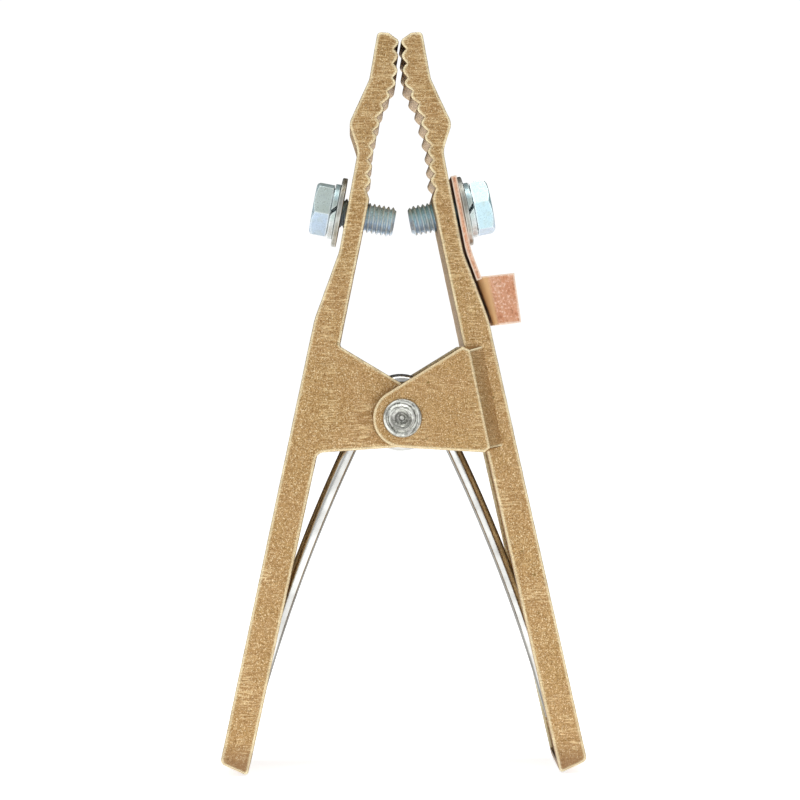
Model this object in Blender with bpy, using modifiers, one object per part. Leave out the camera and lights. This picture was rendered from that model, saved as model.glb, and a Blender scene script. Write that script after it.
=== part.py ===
"""Welding ground clamp: two cast brass arms turning on a tubular rivet, held shut by a torsion spring.

Each arm carries a screw terminal, and the right one holds a copper crimp lug. The clamp stands upright:
+Z runs from the handle ends to the jaw tips, +X to the right arm, -Y to the front. Everything is in metres.
"""

import math

import bmesh
import bpy
from mathutils import Matrix, Vector

MM = 0.001
GAP = 0.3 * MM  # between neighbouring pieces that would touch
STACK_GAP = 0.08 * MM  # between flat faces stacked on a screw
HEAD_GAP = 0.1 * MM  # between the rivet's heads and the outer ears
OVERLAP = 1.0 * MM  # by which solids that are joined run into each other

# Arms
ARM_WIDTH = 28.0 * MM  # front to back
PIVOT_Z = 92.9 * MM
EAR_THICKNESS = 4.0 * MM
EAR_STEP = 0.35 * MM  # running gap between an inner ear and the outer ear over it
BOSS_RADIUS = 7.6 * MM
FLANGE_THICKNESS = 3.2 * MM  # side walls of the handle channel
CHANNEL_DEPTH = 5.0 * MM
CHANNEL_TOP_Z = 105.0 * MM
CHANNEL_CUT = 15.0 * MM  # by which the channel's cutter reaches out of the handle
END_WALL = 3.0 * MM
ARC_STEP = math.radians(18)

# The outside of the right arm as (x, z, corner radius), from the jaw tip down to the handle end
OUTER_EDGE = [
    (5.8 * MM, 192.8 * MM, 1.2 * MM),
    (8.0 * MM, 180.6 * MM, 4.0 * MM),
    (13.4 * MM, 169.0 * MM, 3.5 * MM),
    (11.1 * MM, 162.0 * MM, 6.0 * MM),
    (16.1 * MM, 136.0 * MM, 8.0 * MM),
    (22.6 * MM, 118.5 * MM, 14.0 * MM),
    (47.8 * MM, 3.3 * MM, 0.8 * MM),
]
HANDLE_FOOT = (40.6 * MM, 0.0)
INNER_BEND = (19.0 * MM, 97.4 * MM)
BELOW_TEETH = (8.1 * MM, 149.6 * MM)
JAW_TIP = [(0.55 * MM, 190.9 * MM, 0.0), (2.9 * MM, 192.6 * MM, 1.0 * MM)]

# Teeth: the line their tips follow, as (x, z, corner radius), from the jaw tip down
TOOTH_LINE = [
    (0.22 * MM, 190.2 * MM, 0.0),
    (0.75 * MM, 180.0 * MM, 4.0 * MM),
    (4.6 * MM, 172.0 * MM, 8.0 * MM),
    (6.9 * MM, 162.5 * MM, 14.0 * MM),
    (7.85 * MM, 152.4 * MM, 0.0),
]
TOOTH_COUNT = 10.5  # from the first tip to the last valley
TOOTH_DEPTH = 1.15 * MM
TOOTH_STEPS = 6  # points for each tooth

# Ears: where their two edges, both tangents of the boss, reach the arm
EAR_HIGH_CORNER = (15.6 * MM, 111.3 * MM)
EAR_LOW_CORNER = (21.2 * MM, 83.9 * MM)
EAR_ROOT = 3.0 * MM  # how far an ear runs on into the arm

# Outer ears: the proud flat ends over the arm, on a slope down to the arm's side
FLAT_END = [(22.7 * MM, 85.1 * MM), (17.6 * MM, 110.4 * MM)]
SLOPE_END = [(26.04 * MM, 85.6 * MM), (20.96 * MM, 111.3 * MM)]
EAR_LEDGE = 0.4 * MM  # of solid ear left beyond the room for the other arm's ear
EAR_CUT_SPAN = 4.0 * MM  # by which that room's cutter runs past the ear's corners
EAR_CUT_REACH = 20.0 * MM  # and past the pivot

# Rivet and its spacer tube
RIVET_SHANK = 3.5 * MM
RIVET_CLEARANCE = 0.15 * MM
RIVET_HEAD = 5.0 * MM
RIVET_HEAD_HEIGHT = 1.7 * MM
RIVET_HOLE = 1.65 * MM
RIVET_HOLE_DEPTH = 9.0 * MM
SPACER_OUTER = 5.0 * MM

# Torsion spring
WIRE = 3.9 * MM
COIL_RADIUS = 8.2 * MM  # to the middle of the wire
COIL_RISE = 1.1 * MM  # the legs hold the coil up against the underside of the spacer tube
COIL_TURNS = 3
COIL_PITCH = 4.05 * MM
COIL_STEPS = 20  # points for each turn
LEG_ANGLE = math.radians(27.2)  # of each leg from the vertical, where it leaves the coil
LEG_LENGTH = 92.0 * MM
LEG_BOW = math.radians(12)  # by which a leg's far end turns towards the vertical
LEG_STEPS = 7

# Screw terminals, measured outwards from the arm's outer face
SEAT_Z = 146.5 * MM
SCREW_RADIUS = 4.0 * MM
SCREW_PITCH = 1.25 * MM
SCREW_LENGTH = 17.0 * MM
THREAD_DEPTH = 0.72 * MM
THREAD_RUNOUT = 0.6 * MM  # plain shank under the head
TIP_LENGTH = 1.0 * MM
TIP_CHAMFER = (0.5 * MM, 0.3 * MM)  # across and along the screw
HEX_ACROSS_FLATS = 13.0 * MM
HEX_HEIGHT = 4.8 * MM
HEX_TURN = math.radians(10)
HEX_CROWN = 0.485 * HEX_ACROSS_FLATS  # radius of the head's flat top
HEX_CLEAR = 0.62 * HEX_ACROSS_FLATS  # a radius outside its corners
TAPPED_HOLE = 4.2 * MM
FLAT_WASHER = (4.3 * MM, 9.2 * MM, 1.3 * MM)  # inner radius, outer radius, thickness
LOCK_WASHER = (4.2 * MM, 7.3 * MM, 1.4 * MM)
LOCK_SPLIT = 0.9 * MM
LOCK_SLANT = math.radians(50)
LEFT_LIFT = 1.3 * MM  # bare thread between the left flat washer and the arm
RIGHT_LIFT = 0.95 * MM  # between the lug and the arm

# Copper lug, in the terminal's own frame: x runs down the arm and z away from it
LUG_THICKNESS = 1.45 * MM
LUG_WIDTH = 16.0 * MM
LUG_TOP = -9.3 * MM
LUG_HOLE = 4.5 * MM
LUG_BEND = 10.5 * MM
LUG_BEND_ANGLE = math.radians(9.3)
BARREL_START = 7.4 * MM  # beyond the bend
BARREL_END = 20.9 * MM
BARREL_HEIGHTS = (9.9 * MM, 7.1 * MM)  # at the start and the end
BARREL_RADII = (4.35 * MM, 1.7 * MM)  # outside the bend of each wing
BARREL_SKEW = math.tan(math.radians(14.2))  # by which each wing's ends slope towards the cable

SIDES = 32  # of a large round face
BRASS = ("brass", (0.60, 0.44, 0.21, 1), 0.45, 1.0)
STEEL = ("rivet_steel", (0.50, 0.51, 0.50, 1), 0.45, 1.0)
SPRING_STEEL = ("spring_steel", (0.72, 0.74, 0.76, 1), 0.18, 1.0)
ZINC = ("bright_zinc", (0.62, 0.74, 0.78, 1), 0.28, 1.0)
WASHER_STEEL = ("washer_steel", (0.48, 0.49, 0.48, 1), 0.42, 1.0)
COPPER = ("copper", (0.80, 0.42, 0.28, 1), 0.38, 1.0)


def clear_scene():
    for obj in list(bpy.data.objects):
        bpy.data.objects.remove(obj, do_unlink=True)


def new_collection(name):
    collection = bpy.data.collections.new(name)
    bpy.context.scene.collection.children.link(collection)
    return collection


def material(name, colour, roughness, metallic):
    made = bpy.data.materials.get(name)
    if made is None:
        made = bpy.data.materials.new(name)
        made.use_nodes = True
        shader = made.node_tree.nodes["Principled BSDF"]
        shader.inputs["Base Color"].default_value = colour
        shader.inputs["Roughness"].default_value = roughness
        shader.inputs["Metallic"].default_value = metallic
    return made


def finish_part(obj, surface):
    """Gives a finished part its material and smooth rounds."""
    obj.data.materials.clear()
    obj.data.materials.append(material(*surface))
    obj.data.shade_smooth()
    obj.data.set_sharp_from_angle(angle=math.radians(35))
    return obj


# ---- outlines, as lists of (x, z) points ----


def with_arcs(corners, closed=True):
    """The line through (x, z, radius) corners, with an arc at each corner that has a radius."""
    points = []
    for i, (x, z, radius) in enumerate(corners):
        here = Vector((x, z))
        at_end = not closed and i in (0, len(corners) - 1)
        if radius == 0 or at_end:
            points.append(here)
            continue
        before = (Vector(corners[i - 1][:2]) - here).normalized()
        after = (Vector(corners[(i + 1) % len(corners)][:2]) - here).normalized()
        half = before.angle(after) / 2
        centre = here + (before + after).normalized() * radius / math.sin(half)
        start = here + before * radius / math.tan(half) - centre
        end = here + after * radius / math.tan(half) - centre
        turn = math.atan2(start.x * end.y - start.y * end.x, start.dot(end))
        steps = max(1, math.ceil(abs(turn) / ARC_STEP))
        points += [centre + Matrix.Rotation(turn * k / steps, 2) @ start for k in range(steps + 1)]
    return points


def point_along(line, distance):
    """The point at this distance along a line of points."""
    for a, b in zip(line, line[1:]):
        length = (b - a).length
        if distance <= length:
            return a + (b - a) * (distance / length)
        distance -= length
    return line[-1]


def toothed_edge():
    """The jaw's gripping edge from the first tooth's tip down: rounded tips and sharp valleys."""
    line = with_arcs(TOOTH_LINE, closed=False)
    length = sum((b - a).length for a, b in zip(line, line[1:]))
    pitch = length / TOOTH_COUNT
    points = []
    for k in range(round(TOOTH_COUNT * TOOTH_STEPS) + 1):
        along = k / TOOTH_STEPS
        cut = TOOTH_DEPTH * (1 - abs(math.cos(math.pi * along)))
        points.append(point_along(line, along * pitch) + Vector((cut, 0)))
    return points


def arm_outline():
    """The right arm seen from the front, without its ears."""
    tip = with_arcs([(*toothed_edge()[0], 0.0), *JAW_TIP, OUTER_EDGE[0]], closed=False)[1:-1]
    corners = [(*JAW_TIP[-1][:2], 0.0), *OUTER_EDGE, (*HANDLE_FOOT, 0.0)]
    outer = with_arcs(corners, closed=False)[1:-1]
    inner = [Vector(HANDLE_FOOT), Vector(INNER_BEND), Vector(BELOW_TEETH)]
    return outer + inner + toothed_edge()[::-1] + tip


def boss_edge(corner, high):
    """The boss's edge from the tangent through this corner round to the boss's far side."""
    away = Vector(corner) - Vector((0, PIVOT_Z))
    lean = math.acos(BOSS_RADIUS / away.length)
    start = math.atan2(away.y, away.x) + (lean if high else -lean)
    end = math.pi if high else -math.pi
    steps = math.ceil(abs(end - start) / ARC_STEP)
    turns = [start + (end - start) * k / steps for k in range(steps + 1)]
    return [Vector((math.cos(t), math.sin(t))) * BOSS_RADIUS + Vector((0, PIVOT_Z)) for t in turns]


def ear_outline(beyond):
    """An ear of the right arm seen from the front, run on this far beyond its two corners."""
    upper = boss_edge(EAR_HIGH_CORNER, high=True)
    lower = boss_edge(EAR_LOW_CORNER, high=False)[::-1]
    high, low = Vector(EAR_HIGH_CORNER), Vector(EAR_LOW_CORNER)
    high += (high - upper[0]).normalized() * beyond
    low += (low - lower[-1]).normalized() * beyond
    return [high, *upper, *lower[1:], low]


# ---- solids ----


def mirrored(points, side):
    """Right-arm points moved to the left arm where side is -1."""
    return [Vector((side * p[0], p[1])) for p in points]


def link_mesh(name, mesh, collection):
    obj = bpy.data.objects.new(name, mesh)
    collection.objects.link(obj)
    return obj


def helper(obj):
    """Marks a cutter or an added shape, which isn't a part of its own."""
    obj.hide_render = True
    obj.display_type = "WIRE"
    return obj


def plate(name, outline, y_from, y_to, collection):
    """A flat outline in the XZ plane, thick from y_from to y_to, as a mesh."""
    curve = bpy.data.curves.new(name, "CURVE")
    curve.dimensions = "2D"
    curve.fill_mode = "BOTH"
    curve.extrude = abs(y_to - y_from) / 2
    spline = curve.splines.new("POLY")
    spline.points.add(len(outline) - 1)
    spline.use_cyclic_u = True
    for point, (x, z) in zip(spline.points, outline):
        point.co = (x, z, 0, 1)
    guide = bpy.data.objects.new(name, curve)
    upright = Matrix.Rotation(math.pi / 2, 4, "X")
    guide.matrix_world = Matrix.Translation((0, (y_from + y_to) / 2, 0)) @ upright
    collection.objects.link(guide)
    return as_mesh(guide, name, collection)


def as_mesh(guide, name, collection):
    """Turns a curve object into a closed mesh object in the same place."""
    bpy.context.view_layer.update()
    graph = bpy.context.evaluated_depsgraph_get()
    mesh = bpy.data.meshes.new_from_object(guide.evaluated_get(graph))
    mesh.transform(guide.matrix_world)
    bpy.data.objects.remove(guide, do_unlink=True)
    shape = bmesh.new()
    shape.from_mesh(mesh)
    bmesh.ops.remove_doubles(shape, verts=shape.verts, dist=1e-6)
    bmesh.ops.recalc_face_normals(shape, faces=shape.faces)
    shape.to_mesh(mesh)
    shape.free()
    return link_mesh(name, mesh, collection)


def add_boolean(obj, other, operation):
    modifier = obj.modifiers.new(f"{operation.lower()}_{other.name}", "BOOLEAN")
    modifier.operation = operation
    modifier.solver = "EXACT"
    modifier.object = other
    helper(other)


def loft(name, rings, collection):
    """A solid through rings of (x, y, z) points, each ring joined to the next point for point."""
    shape = bmesh.new()
    made = [[shape.verts.new(point) for point in ring] for ring in rings]
    shape.faces.new(made[0])
    shape.faces.new(made[-1][::-1])
    for ring, after in zip(made, made[1:]):
        for k in range(len(ring)):
            n = (k + 1) % len(ring)
            shape.faces.new((ring[k], after[k], after[n], ring[n]))
    bmesh.ops.recalc_face_normals(shape, faces=shape.faces)
    mesh = bpy.data.meshes.new(name)
    shape.to_mesh(mesh)
    shape.free()
    return link_mesh(name, mesh, collection)


def turned(name, profile, collection, place=None, sides=SIDES):
    """A shape turned round its own Z axis from (radius, height) points, which run down its outer side."""
    mesh = bpy.data.meshes.new(name)
    edges = [(k, k + 1) for k in range(len(profile) - 1)]
    if profile[0][0] > 0:
        edges.append((len(profile) - 1, 0))
    mesh.from_pydata([(r, 0, z) for r, z in profile], edges, [])
    obj = link_mesh(name, mesh, collection)
    obj.matrix_world = place or Matrix.Identity(4)
    screw = obj.modifiers.new("turn", "SCREW")
    screw.axis = "Z"
    screw.steps = sides
    screw.render_steps = sides
    screw.use_merge_vertices = True
    screw.merge_threshold = 1e-6
    screw.use_smooth_shade = True
    return obj


def pivot_frame():
    """The frame of the pivot: origin in the middle of the clamp, +Z to the front."""
    return Matrix.Translation((0, 0, PIVOT_Z)) @ Matrix.Rotation(math.pi / 2, 4, "X")


def rod(name, radius, low, high, collection, place, sides=SIDES):
    return turned(name, [(0, high), (radius, high), (radius, low), (0, low)], collection, place, sides)


def terminal_frame(side):
    """The frame of a screw terminal: origin on the arm's outer face, +Z out of it, +Y to the back."""
    upper, lower = Vector(OUTER_EDGE[3][:2]), Vector(OUTER_EDGE[4][:2])
    down = (lower - upper).normalized()
    seat = upper + down * ((SEAT_Z - upper.y) / down.y)
    out = Vector((side * -down.y, 0, down.x))
    back = Vector((0, 1, 0))
    frame = Matrix((back.cross(out), back, out)).transposed().to_4x4()
    frame.translation = (side * seat.x, 0, seat.y)
    return frame


# ---- the arms ----


def channel_outline():
    """The hollow between a right handle's side walls, seen from the front."""
    foot = Vector(HANDLE_FOOT)
    along = (Vector(INNER_BEND) - foot).normalized()
    into = Vector((along.y, -along.x)) * CHANNEL_DEPTH
    start = foot + along * END_WALL
    high = foot + along * ((CHANNEL_TOP_Z - foot.y) / along.y)
    clear = Vector((-CHANNEL_CUT, 0))
    return [start + clear, start, start + into, high + into, high, high + clear]


def inner_ear(name, side, front, helpers):
    """An ear flush with the arm's side."""
    outer = front * ARM_WIDTH / 2
    outline = mirrored(ear_outline(EAR_ROOT), side)
    return plate(name, outline, outer, outer - front * EAR_THICKNESS, helpers)


def outer_ear(name, side, front, helpers):
    """An ear that stands proud of the arm's side, over the other arm's ear, with a sloping end."""
    side_face = ARM_WIDTH / 2
    levels = [
        (side_face + EAR_STEP + EAR_THICKNESS, FLAT_END),
        (side_face, SLOPE_END),
        (side_face - OVERLAP, SLOPE_END),
    ]
    rings = []
    for depth, end in levels:
        outline = mirrored([*ear_outline(0), *end], side)
        rings.append([(x, front * depth, z) for x, z in outline])
    ear = loft(name, rings, helpers)
    add_boolean(ear, under_ear(f"{name}_under", side, front, helpers), "DIFFERENCE")
    return ear


def under_ear(name, side, front, helpers):
    """The room under an outer ear for the other arm's ear."""
    high, low = Vector(EAR_HIGH_CORNER), Vector(EAR_LOW_CORNER)
    along = (high - low).normalized()
    ledge = Vector((-along.y, along.x)) * EAR_LEDGE
    high += ledge + along * EAR_CUT_SPAN
    low += ledge - along * EAR_CUT_SPAN
    outline = mirrored([high, (-EAR_CUT_REACH, high.y), (-EAR_CUT_REACH, low.y), low], side)
    return plate(name, outline, front * (ARM_WIDTH / 2 + EAR_STEP), front * ARM_WIDTH / 4, helpers)


def arm(name, side, make_ear, parts, helpers):
    """A cast arm: toothed jaw, two ears on the pivot, and a handle that is a channel open inwards."""
    body = plate(name, mirrored(arm_outline(), side), -ARM_WIDTH / 2, ARM_WIDTH / 2, parts)
    hollow = ARM_WIDTH / 2 - FLANGE_THICKNESS
    channel = plate(f"{name}_channel", mirrored(channel_outline(), side), -hollow, hollow, helpers)
    add_boolean(body, channel, "DIFFERENCE")
    for where, front in (("front", -1), ("back", 1)):
        add_boolean(body, make_ear(f"{name}_{where}_ear", side, front, helpers), "UNION")
    bores = (
        ("pivot_bore", RIVET_SHANK + RIVET_CLEARANCE, ARM_WIDTH, pivot_frame()),
        ("tapped_bore", TAPPED_HOLE, ARM_WIDTH / 2, terminal_frame(side)),
    )
    for bore, radius, reach, frame in bores:
        add_boolean(body, rod(f"{name}_{bore}", radius, -reach, reach, helpers, frame), "DIFFERENCE")
    return finish_part(body, BRASS)


# ---- the pivot and its spring ----


def pivot_rivet(parts):
    """A semi-tubular rivet: a rolled flare round its hole in front, a low dome behind."""
    face = ARM_WIDTH / 2 + EAR_STEP + EAR_THICKNESS + HEAD_GAP
    top = face + RIVET_HEAD_HEIGHT
    flare = [
        (RIVET_HOLE, top - 0.5 * MM),
        (2.1 * MM, top - 0.1 * MM),
        (2.9 * MM, top),
        (3.5 * MM, top - 0.35 * MM),
        (4.2 * MM, top - 0.45 * MM),
        (RIVET_HEAD - 0.25 * MM, top - 0.75 * MM),
        (RIVET_HEAD, face + 0.35 * MM),
        (RIVET_HEAD - 0.2 * MM, face),
    ]
    dome_steps = 5
    dome = []
    for k in range(dome_steps + 1):
        turn = math.pi / 2 * k / dome_steps
        dome.append((RIVET_HEAD * math.cos(turn), -face - RIVET_HEAD_HEIGHT * math.sin(turn)))
    dome[-1] = (0, dome[-1][1])
    bottom = top - RIVET_HOLE_DEPTH
    hole = [(0, bottom - 0.8 * MM), (RIVET_HOLE, bottom)]
    profile = hole + flare + [(RIVET_SHANK, face), (RIVET_SHANK, -face)] + dome
    return finish_part(turned("pivot_rivet", profile, parts, pivot_frame()), STEEL)


def spring_spacer(parts):
    """The tube on the rivet that keeps the inner ears apart and carries the coil."""
    half = ARM_WIDTH / 2 - EAR_THICKNESS - GAP
    bore = RIVET_SHANK + GAP
    profile = [(bore, half), (SPACER_OUTER, half), (SPACER_OUTER, -half), (bore, -half)]
    return finish_part(turned("spring_spacer", profile, parts, pivot_frame()), STEEL)


def spring_line():
    """The middle of the spring's wire: left leg, coil from front to back, right leg."""
    centre = Vector((0, 0, PIVOT_Z + COIL_RISE))
    wrap = 2 * math.pi * COIL_TURNS + math.pi - 2 * LEG_ANGLE
    steps = round(COIL_STEPS * wrap / (2 * math.pi))
    front = -COIL_PITCH * wrap / (4 * math.pi)
    coil = []
    for k in range(steps + 1):
        turn = math.pi - LEG_ANGLE - wrap * k / steps
        y = front * (1 - 2 * k / steps)
        coil.append(centre + Vector((COIL_RADIUS * math.cos(turn), y, COIL_RADIUS * math.sin(turn))))
    return spring_leg(coil[0], -1)[::-1] + coil + spring_leg(coil[-1], 1)


def spring_leg(start, side):
    """A leg's points beyond the coil: it leaves along the tangent and bows towards the vertical."""
    points, here = [], start
    for k in range(LEG_STEPS):
        lean = LEG_ANGLE - LEG_BOW * (k + 0.5) / LEG_STEPS
        here = here + Vector((side * math.sin(lean), 0, -math.cos(lean))) * LEG_LENGTH / LEG_STEPS
        points.append(here)
    return points


def torsion_spring(parts):
    curve = bpy.data.curves.new("torsion_spring", "CURVE")
    curve.dimensions = "3D"
    curve.bevel_depth = WIRE / 2
    curve.bevel_resolution = 2
    curve.use_fill_caps = True
    points = spring_line()
    spline = curve.splines.new("POLY")
    spline.points.add(len(points) - 1)
    for point, place in zip(spline.points, points):
        point.co = (*place, 1)
    guide = bpy.data.objects.new("torsion_spring", curve)
    parts.objects.link(guide)
    return finish_part(as_mesh(guide, "torsion_spring", parts), SPRING_STEEL)


# ---- the screw terminals ----


def thread_profile(head_z):
    """A screw's shank from under its head to its tip, with a groove for each turn of the thread."""
    tip = head_z - SCREW_LENGTH
    root = SCREW_RADIUS - THREAD_DEPTH
    start = head_z - THREAD_RUNOUT
    across, along = TIP_CHAMFER
    profile = [(0, head_z + OVERLAP), (SCREW_RADIUS, head_z + OVERLAP), (SCREW_RADIUS, start)]
    turns = int((SCREW_LENGTH - THREAD_RUNOUT - TIP_LENGTH) / SCREW_PITCH)
    for k in range(turns):
        z = start - k * SCREW_PITCH
        profile += [(root, z - SCREW_PITCH / 2), (SCREW_RADIUS, z - SCREW_PITCH)]
    return profile + [(root, tip + along), (root - across, tip), (0, tip)]


def hex_head(name, head_z, collection):
    """A plain hexagonal prism from head_z up, with two of its flats across the front and back."""
    shape = bmesh.new()
    corner = HEX_ACROSS_FLATS / math.sqrt(3)
    place = Matrix.Translation((0, 0, head_z + HEX_HEIGHT / 2)) @ Matrix.Rotation(math.pi / 6, 4, "Z")
    bmesh.ops.create_cone(
        shape, cap_ends=True, segments=6, radius1=corner, radius2=corner, depth=HEX_HEIGHT, matrix=place
    )
    mesh = bpy.data.meshes.new(name)
    shape.to_mesh(mesh)
    shape.free()
    return link_mesh(name, mesh, collection)


def hex_screw(name, side, head_z, parts, helpers):
    """A hexagon-head screw whose head bears at head_z above the arm."""
    frame = terminal_frame(side)
    screw = hex_head(name, head_z, parts)
    screw.matrix_world = frame @ Matrix.Rotation(-HEX_TURN, 4, "Z")
    top = head_z + HEX_HEIGHT
    low = head_z - OVERLAP
    drop = (HEX_CLEAR - HEX_CROWN) * math.tan(math.pi / 6)
    crown = [(0, top), (HEX_CROWN, top), (HEX_CLEAR, top - drop), (HEX_CLEAR, low), (0, low)]
    add_boolean(screw, turned(f"{name}_crown", crown, helpers, frame), "INTERSECT")
    add_boolean(screw, turned(f"{name}_shank", thread_profile(head_z), helpers, frame, sides=20), "UNION")
    return finish_part(screw, ZINC)


def flat_washer(name, side, low, parts):
    inner, outer, thick = FLAT_WASHER
    edge = 0.2 * MM
    profile = [(inner, low + thick), (outer - edge, low + thick), (outer, low + thick - edge)]
    profile += [(outer, low + edge), (outer - edge, low), (inner, low)]
    return finish_part(turned(name, profile, parts, terminal_frame(side), sides=40), WASHER_STEEL)


def lock_washer(name, side, low, parts, helpers):
    """A split spring washer, its slanting cut to the front."""
    inner, outer, thick = LOCK_WASHER
    frame = terminal_frame(side)
    profile = [(inner, low + thick), (outer, low + thick), (outer, low), (inner, low)]
    ring = turned(name, profile, parts, frame)
    shape = bmesh.new()
    bmesh.ops.create_cube(shape, size=1)
    mesh = bpy.data.meshes.new(f"{name}_split")
    shape.to_mesh(mesh)
    shape.free()
    split = link_mesh(f"{name}_split", mesh, helpers)
    middle = Matrix.Translation((0, -(inner + outer) / 2, low + thick / 2))
    size = Matrix.Diagonal((LOCK_SPLIT, 2 * (outer - inner), 4 * thick, 1))
    mesh.transform(middle @ Matrix.Rotation(LOCK_SLANT, 4, "Y") @ size)
    split.matrix_world = frame
    add_boolean(ring, split, "DIFFERENCE")
    return finish_part(ring, WASHER_STEEL)


def terminal(prefix, side, lift, parts, helpers):
    """The flat washer, lock washer and screw of one arm, with the flat washer this far off the arm."""
    flat_washer(f"{prefix}_flat_washer", side, lift, parts)
    lock_z = lift + FLAT_WASHER[2] + STACK_GAP
    lock_washer(f"{prefix}_lock_washer", side, lock_z, parts, helpers)
    head_z = lock_z + LOCK_WASHER[2] + STACK_GAP
    hex_screw(f"{prefix}_terminal_screw", side, head_z, parts, helpers)


def barrel_section(radius, height):
    """Half of the barrel's U section as (across, out) points, from its floor to a wing's edge and back."""
    half = LUG_WIDTH / 2
    outside, inside = [], []
    for k in range(5):
        turn = math.pi / 2 * k / 4
        outside.append((half - radius * (1 - math.sin(turn)), radius * (1 - math.cos(turn))))
        bend = radius - LUG_THICKNESS
        inside.append((half - radius + bend * math.sin(turn), radius - bend * math.cos(turn)))
    return [*outside, (half, height), (half - LUG_THICKNESS, height), *inside[::-1]]


def cable_lug(parts, helpers):
    """A copper lug: a flat palm under the screw, and an open U barrel to crimp round the cable."""
    frame = terminal_frame(1)
    low, high, half = RIGHT_LIFT, RIGHT_LIFT + LUG_THICKNESS, LUG_WIDTH / 2
    along = Vector((math.cos(LUG_BEND_ANGLE), math.sin(LUG_BEND_ANGLE)))
    out = Vector((-along.y, along.x))
    palm_end = Vector((LUG_BEND, low)) + along * (BARREL_START + OVERLAP)
    inside_bend = LUG_BEND - LUG_THICKNESS * math.tan(LUG_BEND_ANGLE / 2)
    palm = [(LUG_TOP, low), (LUG_BEND, low), palm_end, palm_end + out * LUG_THICKNESS]
    palm += [(inside_bend, high), (LUG_TOP, high)]
    lug = plate("cable_lug", palm, -half, half, parts)
    lug.matrix_world = frame
    rings = []
    for distance, height, radius in zip((BARREL_START, BARREL_END), BARREL_HEIGHTS, BARREL_RADII):
        side_points = barrel_section(radius, height)
        section = side_points + [(-across, rise) for across, rise in side_points[::-1]]
        foot = Vector((LUG_BEND, low)) + along * distance
        rising = out + along * BARREL_SKEW
        points = [(foot + rising * rise, across) for across, rise in section]
        rings.append([(p.x, across, p.y) for p, across in points])
    barrel = loft("cable_lug_barrel", rings, helpers)
    barrel.matrix_world = frame
    add_boolean(lug, barrel, "UNION")
    hole = rod("cable_lug_hole", LUG_HOLE, low - OVERLAP, high + OVERLAP, helpers, frame)
    add_boolean(lug, hole, "DIFFERENCE")
    return finish_part(lug, COPPER)


def main():
    clear_scene()
    parts = new_collection("ground_clamp")
    helpers = new_collection("cutters")
    arm("left_arm", -1, inner_ear, parts, helpers)
    arm("right_arm", 1, outer_ear, parts, helpers)
    pivot_rivet(parts)
    spring_spacer(parts)
    torsion_spring(parts)
    terminal("left", -1, LEFT_LIFT, parts, helpers)
    terminal("right", 1, RIGHT_LIFT + LUG_THICKNESS + STACK_GAP, parts, helpers)
    cable_lug(parts, helpers)


main()
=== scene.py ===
"""The looks of the welding ground clamp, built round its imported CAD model."""

import math

import bmesh
import bpy
from mathutils import Matrix, Vector, noise


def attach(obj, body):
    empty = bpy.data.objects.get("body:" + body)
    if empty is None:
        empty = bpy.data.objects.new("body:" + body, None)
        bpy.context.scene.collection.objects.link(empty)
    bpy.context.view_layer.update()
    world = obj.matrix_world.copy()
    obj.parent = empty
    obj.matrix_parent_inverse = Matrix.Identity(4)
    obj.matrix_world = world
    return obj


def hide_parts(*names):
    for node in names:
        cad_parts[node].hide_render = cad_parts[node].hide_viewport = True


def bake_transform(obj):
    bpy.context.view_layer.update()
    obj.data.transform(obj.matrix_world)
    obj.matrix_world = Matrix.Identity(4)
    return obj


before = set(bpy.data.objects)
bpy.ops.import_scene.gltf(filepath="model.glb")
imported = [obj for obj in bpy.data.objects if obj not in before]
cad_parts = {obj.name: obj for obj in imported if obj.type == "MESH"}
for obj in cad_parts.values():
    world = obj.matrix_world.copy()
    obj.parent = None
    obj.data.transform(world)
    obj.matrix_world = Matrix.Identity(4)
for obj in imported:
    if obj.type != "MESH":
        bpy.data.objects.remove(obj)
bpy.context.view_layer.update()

MM = 0.001

# The arms, as part.py has them: (x, z, corner radius) seen from the front
ARM_WIDTH = 28.0 * MM
PIVOT_Z = 92.9 * MM
BOSS_RADIUS = 7.6 * MM
EAR_THICKNESS = 4.0 * MM
EAR_FACE = 18.35 * MM  # the outer ears' outer face, from the middle
EAR_STEP = 0.35 * MM
OUTER_EDGE = [
    (5.8 * MM, 192.8 * MM, 1.2 * MM),
    (8.0 * MM, 180.6 * MM, 4.0 * MM),
    (13.4 * MM, 169.0 * MM, 3.5 * MM),
    (11.1 * MM, 162.0 * MM, 6.0 * MM),
    (16.1 * MM, 136.0 * MM, 8.0 * MM),
    (22.6 * MM, 118.5 * MM, 14.0 * MM),
    (47.8 * MM, 3.3 * MM, 1.6 * MM),
]
JAW_TIP = [(0.55 * MM, 190.9 * MM, 0.0), (2.9 * MM, 192.6 * MM, 1.0 * MM)]
HANDLE_FOOT = (40.6 * MM, 0.0, 0.9 * MM)
INNER_BEND = (19.0 * MM, 97.4 * MM)
BELOW_TEETH = (8.1 * MM, 149.6 * MM)
TOOTH_LINE = [
    (0.22 * MM, 190.2 * MM, 0.0),
    (0.75 * MM, 180.0 * MM, 4.0 * MM),
    (4.6 * MM, 172.0 * MM, 8.0 * MM),
    (6.9 * MM, 162.5 * MM, 14.0 * MM),
    (7.85 * MM, 152.4 * MM, 0.0),
]
TOOTH_COUNT = 10.5
TOOTH_DEPTH = 1.15 * MM
TOOTH_STEPS = 12
EAR_HIGH_CORNER = (15.6 * MM, 111.3 * MM)
EAR_LOW_CORNER = (21.2 * MM, 83.9 * MM)
EAR_FILLETS = (0.9 * MM, 2.0 * MM)  # where the ears' upper and lower edges meet the arm
FLAT_END = [(22.7 * MM, 85.1 * MM), (17.6 * MM, 110.4 * MM)]
SLOPE_END = [(26.04 * MM, 85.6 * MM), (20.96 * MM, 111.3 * MM)]
EAR_LEDGE = 0.4 * MM
LEDGE_REACH = 4.0 * MM  # by which the cut behind an outer ear runs past its corners
FLANGE_THICKNESS = 3.2 * MM
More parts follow.
